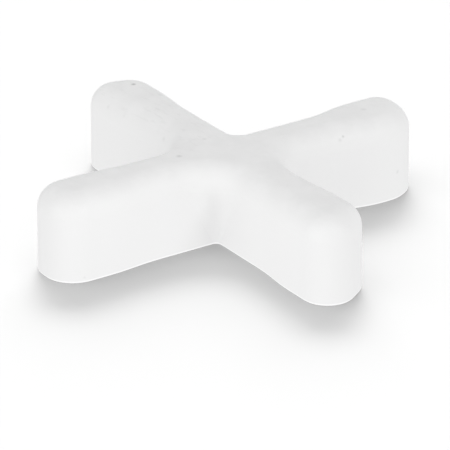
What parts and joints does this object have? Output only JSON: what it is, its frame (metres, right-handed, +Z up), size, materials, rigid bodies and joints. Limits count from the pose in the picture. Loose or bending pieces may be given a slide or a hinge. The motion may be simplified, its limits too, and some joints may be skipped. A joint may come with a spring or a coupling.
{
  "type": "tile spacer",
  "caption": "Moulded plastic cross with waisted, round-ended arms, that holds an even joint between the corners of four floor or wall tiles.",
  "frame": {"origin": "on the flat underside, where the centre lines of the left, far and near arms cross", "axes": "+Z up, square to the underside; X and Y along the arms, with the slightly broader arm along +X"},
  "size_m": [0.019, 0.019, 0.0039],
  "materials": {
    "spacer_plastic": "smooth satin, natural white moulded plastic"
  },
  "bodies": {
    "root": {"spacer": "spacer_plastic"}
  },
  "joints": []
}
